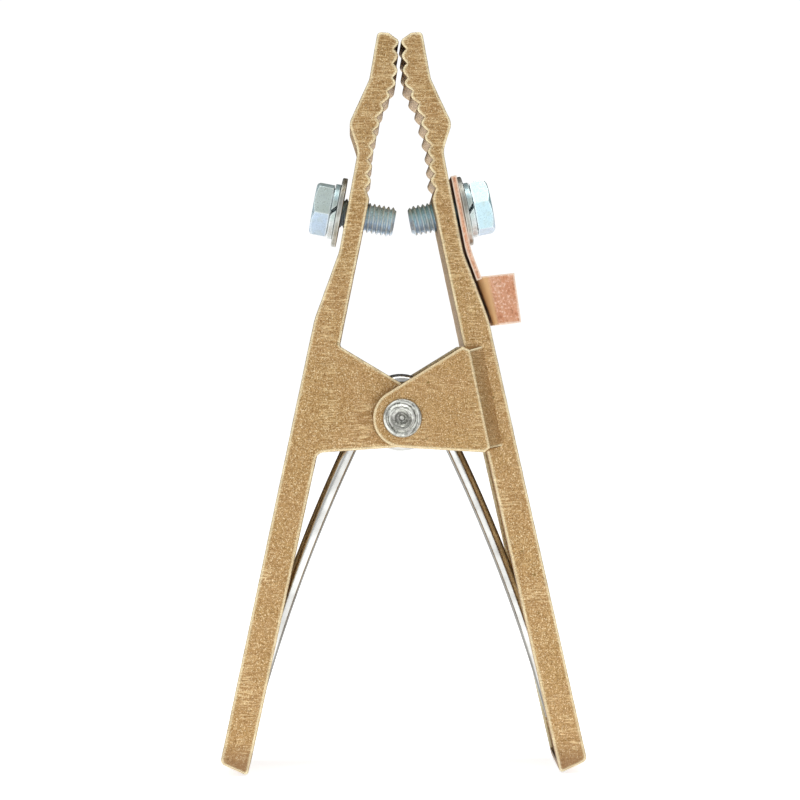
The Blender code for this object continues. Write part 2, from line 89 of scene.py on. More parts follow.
CHANNEL_DEPTH = 5.0 * MM
CHANNEL_TOP_Z = 105.0 * MM
END_WALL = 3.0 * MM
BORE_RADIUS = 3.65 * MM
TAPPED_HOLE = 4.2 * MM
TAPPED_MOUTH = 0.4 * MM
SEAT_Z = 146.5 * MM

# Cast edges: rounded, and uneven along their length
CAST_EDGE = 0.5 * MM
CAST_STEP = 0.9 * MM
CAST_WANDER = 0.035 * MM
EDGE_STEPS = 4  # round each cast edge
ARC_STEP = math.radians(10)

# Rivet, spacer and spring
RIVET_SHANK = 3.5 * MM
RIVET_HEAD = 5.0 * MM
RIVET_HEAD_HEIGHT = 1.7 * MM
RIVET_GAP = 0.1 * MM  # between its heads and the outer ears
RIVET_HOLE = 1.5 * MM
RIVET_HOLE_DEPTH = 1.6 * MM
RIVET_DENT = 0.08 * MM
SPACER_OUTER = 5.0 * MM
WIRE = 3.9 * MM
WIRE_SIDES = 20
WIRE_CHAMFER = 0.35 * MM
COIL_RADIUS = 8.2 * MM
COIL_RISE = 1.1 * MM
COIL_TURNS = 3
COIL_PITCH = 4.05 * MM
COIL_STEPS = 48  # points for each turn
LEG_ANGLE = math.radians(27.2)
COIL_WRAP = 2 * math.pi * COIL_TURNS + math.pi - 2 * LEG_ANGLE
COIL_LENGTH = COIL_PITCH * COIL_WRAP / (2 * math.pi)
LEG_LENGTH = 92.0 * MM
LEG_BOW = math.radians(12)
LEG_STEPS = 28

# Screw terminals, measured outwards from the arm's outer face
SCREW_RADIUS = 4.0 * MM
SCREW_PITCH = 1.25 * MM
SCREW_LENGTH = 17.0 * MM
THREAD_DEPTH = 0.72 * MM
HEX_ACROSS_FLATS = 13.0 * MM
HEX_HEIGHT = 4.8 * MM
HEX_TURN = math.radians(10)
HEX_CROWN = 0.475 * HEX_ACROSS_FLATS  # radius of the head's flat top
HEX_CLEAR = 0.62 * HEX_ACROSS_FLATS  # a radius outside its corners
HEX_BEARING = 0.47 * HEX_ACROSS_FLATS  # radius of the washer face under it
BEARING_HEIGHT = 0.2 * MM
STACK_GAP = 0.08 * MM
FLAT_WASHER = (4.3 * MM, 9.2 * MM, 1.3 * MM)
LOCK_WASHER = (4.2 * MM, 7.3 * MM, 1.4 * MM)
LOCK_STEPS = 72
LOCK_GAP = math.radians(11)
LOCK_SLANT = 1.1  # of its cut, across for each step up
LOCK_EDGE = 0.12 * MM
LEFT_LIFT = 1.3 * MM
RIGHT_LIFT = 0.95 * MM

# Copper lug, in the terminal's own frame: x runs down the arm and z away from it
LUG_THICKNESS = 1.45 * MM
LUG_WIDTH = 16.0 * MM
LUG_TOP = -9.3 * MM
LUG_HOLE = 4.5 * MM
LUG_BEND = 10.5 * MM
LUG_BEND_ANGLE = math.radians(9.3)
BARREL_START = 7.4 * MM
BARREL_END = 20.9 * MM
BARREL_HEIGHTS = (9.9 * MM, 7.1 * MM)
BARREL_RADII = (4.35 * MM, 1.7 * MM)
BARREL_SKEW = math.tan(math.radians(14.2))

# The studio: (place from front 0 to back 1, brightness) of what the metal reflects, and what the camera sees
STUDIO_TONES = [(0.0, 0.62), (0.18, 0.50), (0.34, 1.15), (0.50, 0.90), (0.60, 0.08)]
SEEN_WHITE = (1.05, 1.05, 1.05, 1)

# Where the surface wear lies, and where the handles' ends and the lug darken
ROOT_LINES = 19.0 * MM  # from the middle plane to the linished strip down each ear's root
JAW_LINES = (122.0 * MM, 132.0 * MM)  # heights over which the jaws' linishing lines set in
END_DARKENING = (9.0 * MM, 3.0 * MM)  # heights over which the handles' ends darken
LUG_DARKENING = (SEAT_Z - 14.0 * MM, SEAT_Z - 18.0 * MM)  # heights over which the lug darkens


# ---- node-based materials ----


class Surface:
    """A material whose nodes are added one by one and joined as they are made."""

    def __init__(self, name, roughness, metallic=1.0):
        self.material = bpy.data.materials.new(name)
        self.material.use_nodes = True
        self.tree = self.material.node_tree
        self.shader = self.tree.nodes["Principled BSDF"]
        self.shader.inputs["Roughness"].default_value = roughness
        self.shader.inputs["Metallic"].default_value = metallic
        self.where = self.node("ShaderNodeTexCoord").outputs["Object"]

    def node(self, kind, **settings):
        made = self.tree.nodes.new(kind)
        for key, value in settings.items():
            setattr(made, key, value)
        return made

    def join(self, source, target):
        if isinstance(source, bpy.types.NodeSocket):
            self.tree.links.new(source, target)
        else:
            target.default_value = source

    def stretched(self, scale, turn=0.0):
        """Object coordinates turned about Y, then scaled."""
        placed = self.node("ShaderNodeMapping", vector_type="TEXTURE")
        self.join(self.where, placed.inputs["Vector"])
        placed.inputs["Rotation"].default_value = (0, turn, 0)
        placed.inputs["Scale"].default_value = scale
        return placed.outputs["Vector"]

    def rings(self, centre, step):
        """Coordinates that grow by one for each step away from an axis along Y through (x, z)."""
        offset = self.node("ShaderNodeVectorMath", operation="SUBTRACT")
        self.join(self.where, offset.inputs[0])
        offset.inputs[1].default_value = (centre[0], 0, centre[1])
        flat = self.node("ShaderNodeVectorMath", operation="MULTIPLY")
        self.join(offset.outputs["Vector"], flat.inputs[0])
        flat.inputs[1].default_value = (1, 0, 1)
        away = self.node("ShaderNodeVectorMath", operation="LENGTH")
        self.join(flat.outputs["Vector"], away.inputs[0])
        lean = self.node("ShaderNodeCombineXYZ")
        self.join(self.sums("DIVIDE", away.outputs["Value"], step), lean.inputs["X"])
        around = self.node("ShaderNodeVectorMath", operation="SCALE")
        self.join(flat.outputs["Vector"], around.inputs[0])
        around.inputs["Scale"].default_value = 0.12 / step
        joined = self.node("ShaderNodeVectorMath", operation="ADD")
        self.join(lean.outputs["Vector"], joined.inputs[0])
        self.join(around.outputs["Vector"], joined.inputs[1])
        return joined.outputs["Vector"]

    def noise(self, size, detail=2.0, rough=0.5, where=None, distortion=0.0):
        """Noise with features of about this size in metres, or in the given coordinates' own units."""
        made = self.node("ShaderNodeTexNoise")
        self.join(where or self.where, made.inputs["Vector"])
        made.inputs["Scale"].default_value = 1 / size
        made.inputs["Detail"].default_value = detail
        made.inputs["Roughness"].default_value = rough
        made.inputs["Distortion"].default_value = distortion
        return made.outputs["Fac"]

    def cells(self, size):
        """Distance to the nearest of scattered points that lie about this far apart."""
        made = self.node("ShaderNodeTexVoronoi")
        self.join(self.where, made.inputs["Vector"])
        made.inputs["Scale"].default_value = 1 / size
        return made.outputs["Distance"]

    def spread(self, value, low, high, to_low=0.0, to_high=1.0):
        """The value's range from low to high, stretched to a new range and kept inside it."""
        made = self.node("ShaderNodeMapRange", clamp=True)
        self.join(value, made.inputs["Value"])
        made.inputs["From Min"].default_value = low
        made.inputs["From Max"].default_value = high
        made.inputs["To Min"].default_value = to_low
        made.inputs["To Max"].default_value = to_high
        return made.outputs["Result"]

    def sums(self, operation, a, b=0.0):
        """One step of arithmetic on values."""
        made = self.node("ShaderNodeMath", operation=operation)
        self.join(a, made.inputs[0])
        self.join(b, made.inputs[1])
        return made.outputs["Value"]

    def mix(self, amount, a, b):
        """Colour a, with this much of colour b over it."""
        made = self.node("ShaderNodeMix", data_type="RGBA")
        self.join(amount, made.inputs["Factor"])
        self.join(a, made.inputs[6])
        self.join(b, made.inputs[7])
        return made.outputs[2]

    def edges(self, width):
        """1 along convex edges and 0 further in than this width, from how near the far side is."""
        inside = self.node("ShaderNodeAmbientOcclusion", samples=6, inside=True, only_local=True)
        inside.inputs["Distance"].default_value = 2 * width
        return self.spread(inside.outputs["AO"], 0.92, 0.76)

    def direction(self):
        """The surface's own direction, as X, Y and Z."""
        parts = self.node("ShaderNodeSeparateXYZ")
        self.join(self.node("ShaderNodeTexCoord").outputs["Normal"], parts.inputs[0])
        return parts.outputs

    def position(self):
        """The surface's own place, as X, Y and Z."""
        parts = self.node("ShaderNodeSeparateXYZ")
        self.join(self.where, parts.inputs[0])
        return parts.outputs

    def hollows(self, distance):
        """1 deep in corners and contact lines, 0 in the open."""
        open_sky = self.node("ShaderNodeAmbientOcclusion", samples=6)
        open_sky.inputs["Distance"].default_value = distance
        return self.spread(open_sky.outputs["AO"], 0.62, 0.25, 0.0, 0.9)

    def finish(self, colour, roughness, heights):
        """Joins colour and roughness, and stacks (height, strength, distance) bumps."""
        self.join(colour, self.shader.inputs["Base Color"])
        self.join(roughness, self.shader.inputs["Roughness"])
        normal = None
        for height, strength, distance in heights:
            bump = self.node("ShaderNodeBump")
            bump.inputs["Strength"].default_value = strength
            bump.inputs["Distance"].default_value = distance
            self.join(height, bump.inputs["Height"])
            if normal is not None:
                self.join(normal, bump.inputs["Normal"])
            normal = bump.outputs["Normal"]
        self.join(normal, self.shader.inputs["Normal"])
        return self.material


def brass():
    """Sand-cast brass: gritty grain, linishing lines across the sides, a painted pale highlight and a
    painted dark outline along the edges, painted shade in corners.
    """
    s = Surface("cast_brass", 0.5)
    grain = s.noise(0.42 * MM, detail=3.0, rough=0.7, distortion=1.2)
    speck = s.noise(0.30 * MM, detail=2.0, rough=0.6, distortion=0.5)
    blotch = s.noise(9 * MM, detail=3.0, rough=0.55)
    lines = s.noise(1.0, detail=2.0, where=s.stretched((3.0 * MM, 3.0 * MM, 0.30 * MM)))
    place = s.position()
    root = s.sums("SUBTRACT", s.sums("ABSOLUTE", place["X"]), ROOT_LINES)
    root = s.spread(s.sums("ABSOLUTE", root), 2.6 * MM, 1.2 * MM, 0.0, 0.7)
    jaws = s.spread(place["Z"], *JAW_LINES, 0.0, 0.75)
    patches = s.spread(s.noise(9 * MM, detail=1.0), 0.52, 0.68)
    patches = s.sums("MAXIMUM", s.sums("MAXIMUM", root, jaws), patches)
    pits = s.spread(s.cells(5.5 * MM), 0.10, 0.045)
    colour = s.mix(s.spread(grain, 0.36, 0.64), (0.270, 0.150, 0.052, 1), (0.610, 0.400, 0.178, 1))
    colour = s.mix(s.spread(blotch, 0.35, 0.7, 0.0, 0.3), colour, (0.46, 0.250, 0.120, 1))
    colour = s.mix(s.spread(speck, 0.57, 0.66, 0.0, 0.8), colour, (0.95, 0.80, 0.52, 1))
    colour = s.mix(s.spread(speck, 0.42, 0.34, 0.0, 0.6), colour, (0.190, 0.105, 0.038, 1))
    shine = s.sums("MULTIPLY", s.spread(lines, 0.52, 0.66), patches)
    colour = s.mix(s.sums("MULTIPLY", shine, 0.6), colour, (0.88, 0.70, 0.40, 1))
    score = s.sums("MULTIPLY", s.spread(lines, 0.46, 0.34), patches)
    colour = s.mix(s.sums("MULTIPLY", score, 0.5), colour, (0.240, 0.140, 0.052, 1))
    colour = s.mix(s.sums("MULTIPLY", pits, 0.7), colour, (0.20, 0.13, 0.04, 1))
    # Darker towards the handles' ends.
    darker_end = s.spread(place["Z"], *END_DARKENING, 0.0, 0.65)
    colour = s.mix(darker_end, colour, (0.230, 0.130, 0.070, 1))
    # Painted shade: near-black in corners and along contact lines.
    colour = s.mix(s.hollows(2.2 * MM), colour, (0.090, 0.045, 0.018, 1))
    edge = s.edges(0.40 * MM)
    sideways = s.sums("SUBTRACT", 1.0, s.sums("ABSOLUTE", s.direction()["Y"]))
    # Painted highlight: a pale cream line along the edges, strongest where they turn to the front, with less
    # metal shine there.
    edge_highlight = s.sums("MULTIPLY", edge, s.spread(sideways, 0.35, 0.75, 1.0, 0.15))
    edge_highlight = s.sums("MULTIPLY", edge_highlight, s.spread(grain, 0.25, 0.45, 0.75, 1.0))
    colour = s.mix(edge_highlight, colour, (1.0, 0.93, 0.64, 1))
    # Painted shade: a near-black outline along the edges that turn sideways.
    painted_edge_tone = s.sums("MULTIPLY", edge, s.spread(sideways, 0.55, 0.9, 0.0, 0.9))
    colour = s.mix(painted_edge_tone, colour, (0.060, 0.035, 0.015, 1))
    rough = s.spread(grain, 0.3, 0.7, 0.52, 0.36)
    s.join(s.sums("SUBTRACT", 1.0, s.sums("MULTIPLY", edge_highlight, 0.7)), s.shader.inputs["Metallic"])
    heights = [(grain, 0.7, 0.12 * MM), (speck, 0.5, 0.05 * MM), (lines, 0.4, 0.05 * MM)]
    return s.finish(colour, rough, heights)


def rivet_steel():
    """Hammered, dull plated steel with grey swirls, painted highlights on its rims and painted shade in its
    hollows.
    """
    s = Surface("rivet_steel", 0.4)
    dents = s.noise(1.0 * MM, detail=3.0, rough=0.6, distortion=1.0)
    smear = s.noise(2.0 * MM, detail=2.0, distortion=1.6)
    fine = s.noise(0.25 * MM, detail=2.0)
    colour = s.mix(s.spread(dents, 0.38, 0.62), (0.150, 0.150, 0.130, 1), (0.62, 0.63, 0.57, 1))
    colour = s.mix(s.spread(smear, 0.5, 0.66, 0.0, 0.6), colour, (0.30, 0.28, 0.28, 1))
    swirl = s.noise(1.0, detail=2.0, where=s.rings((0, PIVOT_Z), 0.45 * MM), distortion=0.6)
    colour = s.mix(s.spread(swirl, 0.52, 0.64, 0.0, 0.8), colour, (0.085, 0.085, 0.070, 1))
    colour = s.mix(s.spread(swirl, 0.46, 0.36, 0.0, 0.8), colour, (0.86, 0.88, 0.82, 1))
    # Painted shade: near-black in hollows.
    colour = s.mix(s.hollows(1.0 * MM), colour, (0.10, 0.09, 0.08, 1))
    # Painted highlight: pale rims along the edges.
    colour = s.mix(s.sums("MULTIPLY", s.edges(0.35 * MM), 0.8), colour, (0.92, 0.92, 0.88, 1))
    rough = s.spread(dents, 0.3, 0.7, 0.5, 0.28)
    return s.finish(colour, rough, [(dents, 0.6, 0.14 * MM), (fine, 0.3, 0.03 * MM)])


def spring_steel():
    """Bright plated spring wire, with faint drawing lines, a few dull smudges and a painted dark reflection
    along the sides that turn left and right.
    """
    s = Surface("spring_steel", 0.12)
    smudge = s.noise(6 * MM, detail=3.0)
    fine = s.noise(0.5 * MM, detail=3.0)
    colour = s.mix(s.spread(smudge, 0.35, 0.7), (0.72, 0.73, 0.71, 1), (0.50, 0.50, 0.48, 1))
    # Painted reflection: a dark band down the wire's sides that turn left and right.
    across = s.sums("ABSOLUTE", s.direction()["X"])
    dark_side_reflection = s.sums("MULTIPLY", s.spread(across, 0.62, 0.80), 0.75)
    colour = s.mix(dark_side_reflection, colour, (0.090, 0.082, 0.065, 1))
    rough = s.spread(smudge, 0.35, 0.75, 0.14, 0.24)
    return s.finish(colour, rough, [(fine, 0.12, 0.02 * MM)])


def zinc(name, light, dull, front):
    """Blue-passivated zinc with painted light: paler cyan where faces turn up, lavender shade where they
    turn down, a painted reflection tone on faces that turn to the front, painted shade in hollows and
    painted highlights on the edges.
    """
    s = Surface(name, 0.3, metallic=0.55)
    scuff = s.noise(0.6 * MM, detail=4.0, rough=0.65)
    straw = s.noise(3.1 * MM, detail=2.0, distortion=0.4)
    # Painted light: faces that turn up take the lit tone, faces that turn down the shaded one.
    lit_from_above = s.spread(s.direction()["Z"], -0.25, 0.25)
    colour = s.mix(lit_from_above, (*dull, 1), (*light, 1))
    # Painted reflection: faces that turn to the front or back take another tone.
    front_reflection = s.spread(s.sums("ABSOLUTE", s.direction()["Y"]), 0.90, 0.95)
    colour = s.mix(front_reflection, colour, (*front, 1))
    colour = s.mix(s.spread(straw, 0.52, 0.72, 0.0, 0.4), colour, (0.42, 0.50, 0.42, 1))
    colour = s.mix(s.spread(scuff, 0.54, 0.72, 0.0, 0.5), colour, (0.24, 0.31, 0.33, 1))
    # Painted shade: near-black in hollows.
    colour = s.mix(s.hollows(0.5 * MM), colour, (0.03, 0.045, 0.05, 1))
    # Painted highlight: pale edges.
    painted_edge_tone = s.edges(0.22 * MM)
    colour = s.mix(s.sums("MULTIPLY", painted_edge_tone, 0.55), colour, (0.90, 0.97, 0.97, 1))
    rough = s.spread(scuff, 0.3, 0.75, 0.24, 0.42)
    return s.finish(colour, rough, [(scuff, 0.3, 0.05 * MM)])


def washer_steel():
    """Dull zinc on stamped steel, darker and olive where it is dirty, with painted highlights on the edges.
    """
    s = Surface("washer_steel", 0.42)
    dirt = s.noise(2.6 * MM, detail=4.0, rough=0.6)
    fine = s.noise(0.4 * MM, detail=3.0)
    colour = s.mix(s.spread(dirt, 0.35, 0.65), (0.50, 0.52, 0.49, 1), (0.26, 0.25, 0.20, 1))
    # Painted highlight: pale edges.
    colour = s.mix(s.sums("MULTIPLY", s.edges(0.2 * MM), 0.7), colour, (0.82, 0.84, 0.82, 1))
    rough = s.spread(fine, 0.3, 0.7, 0.32, 0.5)
    return s.finish(colour, rough, [(dirt, 0.3, 0.06 * MM), (fine, 0.3, 0.03 * MM)])


def copper():
    """Bare stamped copper: salmon, a painted orange reflection on the bends that turn left, browner where it
    has tarnished, painted shade in hollows and painted highlights on the edges.
    """
    s = Surface("copper", 0.36)
    tarnish = s.noise(4.5 * MM, detail=4.0, rough=0.6)
    rub = s.noise(1.0, detail=3.0, where=s.stretched((0.5 * MM, 1.2 * MM, 5 * MM), -math.radians(15)))
    speck = s.noise(0.6 * MM, detail=3.0, rough=0.65)
    colour = s.mix(s.spread(rub, 0.40, 0.60), (0.84, 0.38, 0.20, 1), (1.0, 0.62, 0.42, 1))
    # Darker towards the lug's lower end.
    darker_low = s.spread(s.position()["Z"], *LUG_DARKENING, 0.0, 0.6)
    colour = s.mix(darker_low, colour, (0.62, 0.32, 0.20, 1))
    colour = s.mix(s.spread(tarnish, 0.45, 0.7, 0.0, 0.6), colour, (0.50, 0.20, 0.10, 1))
    colour = s.mix(s.spread(speck, 0.55, 0.66, 0.0, 0.75), colour, (1.0, 0.78, 0.64, 1))
    colour = s.mix(s.spread(speck, 0.44, 0.34, 0.0, 0.6), colour, (0.36, 0.14, 0.07, 1))
    # Painted reflection: bends that turn left take a bright orange with no metal shine, standing in for the
    # brass arm they face.
    turned_left = s.spread(s.direction()["X"], -0.15, -0.4)
    turned_away = s.spread(s.direction()["X"], -0.85, -0.97)
    bend_reflection = s.sums("MULTIPLY", turned_left, s.sums("SUBTRACT", 1.0, turned_away))
    colour = s.mix(s.sums("MULTIPLY", bend_reflection, 0.9), colour, (1.0, 0.68, 0.36, 1))
    s.join(s.sums("SUBTRACT", 1.0, bend_reflection), s.shader.inputs["Metallic"])
    # Painted shade: near-black in hollows.
    colour = s.mix(s.hollows(0.8 * MM), colour, (0.10, 0.04, 0.02, 1))
    # Painted highlight: pale edges.
    edge_highlight = s.sums("MULTIPLY", s.edges(0.3 * MM), 0.9)
    colour = s.mix(edge_highlight, colour, (1.0, 0.86, 0.72, 1))
    rough = s.spread(tarnish, 0.3, 0.7, 0.28, 0.46)
    return s.finish(colour, rough, [(rub, 0.25, 0.05 * MM), (speck, 0.35, 0.05 * MM)])


MATERIALS = {
    "brass": brass(),
    "rivet_steel": rivet_steel(),
    "spring_steel": spring_steel(),
    "bright_zinc": zinc("bright_zinc", (0.46, 0.70, 0.74), (0.44, 0.55, 0.68), (0.52, 0.74, 0.80)),
    "aged_zinc": zinc("aged_zinc", (0.72, 0.92, 0.95), (0.46, 0.58, 0.72), (0.52, 0.60, 0.57)),
    "lock_zinc": zinc("lock_zinc", (0.50, 0.68, 0.72), (0.58, 0.62, 0.62), (0.52, 0.62, 0.60)),
    "washer_steel": washer_steel(),
    "copper": copper(),
}


# ---- outlines, as lists of (x, z) points ----


def with_arcs(corners, closed=True):
    """The line through (x, z, radius) corners, with an arc at each corner that has a radius."""
    points = []
    for i, (x, z, radius) in enumerate(corners):
        here = Vector((x, z))
        at_end = not closed and i in (0, len(corners) - 1)
        if radius == 0 or at_end:
            points.append(here)
            continue
        before = (Vector(corners[i - 1][:2]) - here).normalized()
        after = (Vector(corners[(i + 1) % len(corners)][:2]) - here).normalized()
        half = before.angle(after) / 2
        centre = here + (before + after).normalized() * radius / math.sin(half)
        start = here + before * radius / math.tan(half) - centre
        end = here + after * radius / math.tan(half) - centre
        turn = math.atan2(start.x * end.y - start.y * end.x, start.dot(end))
        steps = max(1, math.ceil(abs(turn) / ARC_STEP))
        points += [centre + Matrix.Rotation(turn * k / steps, 2) @ start for k in range(steps + 1)]
    return points


def point_along(line, distance):
    """The point at this distance along a line of points."""
    for a, b in zip(line, line[1:]):
        length = (b - a).length
        if distance <= length:
            return a + (b - a) * (distance / length)
        distance -= length
    return line[-1]


def toothed_edge():
    """The jaw's gripping edge, from the first tooth's tip down to the last valley."""
    line = with_arcs(TOOTH_LINE, closed=False)
    length = sum((b - a).length for a, b in zip(line, line[1:]))
    pitch = length / TOOTH_COUNT
    points = []
    for k in range(round(TOOTH_COUNT * TOOTH_STEPS) + 1):
        along = k / TOOTH_STEPS
        cut = TOOTH_DEPTH * (1 - abs(math.cos(math.pi * along)))
        points.append(point_along(line, along * pitch) + Vector((cut, 0)))
    return points


def arm_outline():
    """The right arm seen from the front, without its ears."""
    tip = with_arcs([(*toothed_edge()[0], 0.0), *JAW_TIP, OUTER_EDGE[0]], closed=False)[1:-1]
    corners = [(*JAW_TIP[-1][:2], 0.0), *OUTER_EDGE, HANDLE_FOOT, (*INNER_BEND, 0.0)]
    outer = with_arcs(corners, closed=False)[1:-1]
    return outer + [Vector(INNER_BEND), Vector(BELOW_TEETH)] + toothed_edge()[::-1] + tip


def boss_edge(corner, high):
    """The boss's edge from the tangent through this corner round to the boss's far side."""
    away = Vector(corner) - Vector((0, PIVOT_Z))
    lean = math.acos(BOSS_RADIUS / away.length)
    start = math.atan2(away.y, away.x) + (lean if high else -lean)
    end = math.pi if high else -math.pi
    steps = math.ceil(abs(end - start) / ARC_STEP)
    turns = [start + (end - start) * k / steps for k in range(steps + 1)]
    return [Vector((math.cos(t), math.sin(t))) * BOSS_RADIUS + Vector((0, PIVOT_Z)) for t in turns]


def inner_line(z):
    """The point of the arm's inner edge at this height."""
    foot, bend, top = Vector(HANDLE_FOOT[:2]), Vector(INNER_BEND), Vector(BELOW_TEETH)
    a, b = (foot, bend) if z < bend.y else (bend, top)
    return a + (b - a) * ((z - a.y) / (b.y - a.y))


def ear_edges():
    """The ear's upper edge, the far side of its boss, and its lower edge."""
    return boss_edge(EAR_HIGH_CORNER, high=True) + boss_edge(EAR_LOW_CORNER, high=False)[-2::-1]


def flush_ear_outline():
    """An inner ear, with a fillet where each of its edges runs into the arm."""
    high_z, low_z = EAR_HIGH_CORNER[1] + 0.3 * MM, EAR_LOW_CORNER[1] - 0.05 * MM
    high, low = inner_line(high_z), inner_line(low_z)
    above, below = inner_line(high_z + 4 * MM), inner_line(low_z - 5 * MM)
    deep = Vector((3 * MM, 0))
    ends = [(*(below + deep), 0.0), (*(above + deep), 0.0), (*above, 0.0), (*high, EAR_FILLETS[0])]
    corners = [(*point, 0.0) for point in ear_edges()]
    return with_arcs([*ends, *corners, (*low, EAR_FILLETS[1]), (*below, 0.0)])


def proud_ear_outline(end):
    """An outer ear, with its far end where the flat or the slope stops."""
    return [Vector(EAR_HIGH_CORNER), *ear_edges(), Vector(EAR_LOW_CORNER), *[Vector(p) for p in end]]


def channel_outline():
    """The hollow of the handle, which is open to the inside."""
    foot = Vector(HANDLE_FOOT[:2])
    along = (Vector(INNER_BEND) - foot).normalized()
    into = Vector((along.y, -along.x)) * CHANNEL_DEPTH
    start = foot + along * END_WALL
    high = foot + along * ((CHANNEL_TOP_Z - foot.y) / along.y)
    clear = Vector((-15 * MM, 0))
    corners = [start + clear, start, start + into, high + into, high, high + clear]
    radii = (0, 0, 1.5 * MM, 1.5 * MM, 0, 0)
    return with_arcs([(*p, r) for p, r in zip(corners, radii)])


def evenly(outline, step):
    """A closed outline with its long edges cut into pieces no longer than this."""
    points = []
    for a, b in zip(outline, outline[1:] + outline[:1]):
        count = max(1, math.ceil((b - a).length / step))
        points += [a + (b - a) * (k / count) for k in range(count)]
    return points


def inset(outline, distances):
    """A closed outline moved inwards, each point by its own distance."""
    area = sum(a.x * b.y - b.x * a.y for a, b in zip(outline, outline[1:] + outline[:1]))
    inward = 1 if area > 0 else -1
    moved = []
    for k, here in enumerate(outline):
        before = (here - outline[k - 1]).normalized()
        after = (outline[(k + 1) % len(outline)] - here).normalized()
        normal = Vector((-before.y - after.y, before.x + after.x)) * inward
        miter = normal / max(0.35, 1 + before.dot(after))
        moved.append(here + miter * distances[k])
    return moved


# ---- solids ----


def mirrored(points, side):
    """The points for the right arm (side 1) or the left arm (side -1)."""
    return [Vector((side * p[0], p[1])) for p in points]


def link(name, mesh):
    obj = bpy.data.objects.new(name, mesh)
    bpy.context.scene.collection.objects.link(obj)
    return obj


def loft(name, rings):
    """A solid through rings of (x, y, z) points, each ring joined to the next point for point."""
    shape = bmesh.new()
    made = [[shape.verts.new(point) for point in ring] for ring in rings]
    shape.faces.new(made[0])
    shape.faces.new(made[-1][::-1])
    for ring, after in zip(made, made[1:]):
        for k in range(len(ring)):
            n = (k + 1) % len(ring)
            shape.faces.new((ring[k], after[k], after[n], ring[n]))
    bmesh.ops.recalc_face_normals(shape, faces=shape.faces)
    mesh = bpy.data.meshes.new(name)
    shape.to_mesh(mesh)
    shape.free()
    return link(name, mesh)


def wander(point, seed):
    """Smooth noise from -1 to 1 that is the same each run."""
    return noise.noise(Vector((point.x / (2.6 * MM), point.y / (2.6 * MM), seed)))


def cast_slab(name, outline, y_from, y_to, seed=0.0):
    """A flat casting between two depths, with rounded edges that wander a little."""
    outline = evenly(outline, CAST_STEP)
    rough = inset(outline, [CAST_WANDER * (1 + wander(p, seed)) for p in outline])
    rings = []
    for y, into, end in ((y_from, 1, 3.7), (y_to, -1, 8.1)):
        widths = [CAST_EDGE * (1 + 0.45 * wander(p, seed + end)) for p in rough]
        side = []
        for k in range(EDGE_STEPS + 1):
            turn = math.pi / 2 * k / EDGE_STEPS
            ring = inset(rough, [w * (1 - math.sin(turn)) for w in widths])
            side.append([(p.x, y + into * w * (1 - math.cos(turn)), p.y) for p, w in zip(ring, widths)])
        rings += side if into == 1 else side[::-1]
    return loft(name, rings)


def block(name, outline, y_from, y_to):
    """A plain slab, for cutting."""
    return loft(name, [[(p.x, y, p.y) for p in outline] for y in (y_from, y_to)])


def boolean(obj, other, operation):
    """Joins or cuts obj with other, which is used up."""
    modifier = obj.modifiers.new(operation.lower(), "BOOLEAN")
    modifier.operation = operation
    modifier.solver = "EXACT"
    modifier.object = other
    applied(obj)
    bpy.data.objects.remove(other, do_unlink=True)


def applied(obj):
    """Turns obj's modifiers and place into plain vertices."""
    bpy.context.view_layer.update()
    graph = bpy.context.evaluated_depsgraph_get()
    mesh = bpy.data.meshes.new_from_object(obj.evaluated_get(graph))
    mesh.transform(obj.matrix_world)
    obj.modifiers.clear()
    obj.matrix_world = Matrix.Identity(4)
    obj.data = mesh
    return obj


def turned(name, profile, place, sides=64):
    """A shape turned round its own Z axis from (radius, height) points, which run down its outer side."""
    shape = bmesh.new()
    rings = []
    for radius, height in profile:
        if radius == 0:
            rings.append([shape.verts.new((0, 0, height))])
            continue
        turns = [2 * math.pi * k / sides for k in range(sides)]
        rings.append([shape.verts.new((radius * math.cos(t), radius * math.sin(t), height)) for t in turns])
    closed = profile[0][0] > 0
    for ring, after in zip(rings, rings[1:] + (rings[:1] if closed else [])):
        for k in range(sides):
            n = (k + 1) % sides
            here = [ring[k % len(ring)], ring[n % len(ring)]]
            there = [after[k % len(after)], after[n % len(after)]]
            corners = [here[0], *there, here[1]]
            shape.faces.new(list(dict.fromkeys(corners)))
    bmesh.ops.recalc_face_normals(shape, faces=shape.faces)
    mesh = bpy.data.meshes.new(name)
    shape.to_mesh(mesh)
    shape.free()
    mesh.transform(place)
    return link(name, mesh)


def along_y():
    """The place of a turned shape on the pivot whose own +Z points to the front."""
    return Matrix.Translation((0, 0, PIVOT_Z)) @ Matrix.Rotation(math.pi / 2, 4, "X")


def terminal_frame(side):
    """The frame of a screw terminal: origin on the arm's outer face, +Z square out of it, +Y to the back."""
    upper, lower = Vector(OUTER_EDGE[3][:2]), Vector(OUTER_EDGE[4][:2])
    down = (lower - upper).normalized()
    seat = upper + down * ((SEAT_Z - upper.y) / down.y)
    out = Vector((side * -down.y, 0, down.x))
    back = Vector((0, 1, 0))
    place = Matrix((back.cross(out), back, out)).transposed().to_4x4()
    place.translation = (side * seat.x, 0, seat.y)
    return place


def finished(obj, body, node, slot, sharp=35, look=None):
    """Shades a piece, gives it its material and puts it in the place of its CAD node."""
    obj.name = f"{node}_look"
    obj.data.materials.clear()
    obj.data.materials.append(MATERIALS[look or slot])
    for polygon in obj.data.polygons:
        polygon.material_index = 0
    obj.data.shade_smooth()
    obj.data.set_sharp_from_angle(angle=math.radians(sharp))
    weighted = obj.modifiers.new("weighted_normals", "WEIGHTED_NORMAL")
    weighted.keep_sharp = True
    applied(obj)
    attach(obj, body)
    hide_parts(node)
    return obj


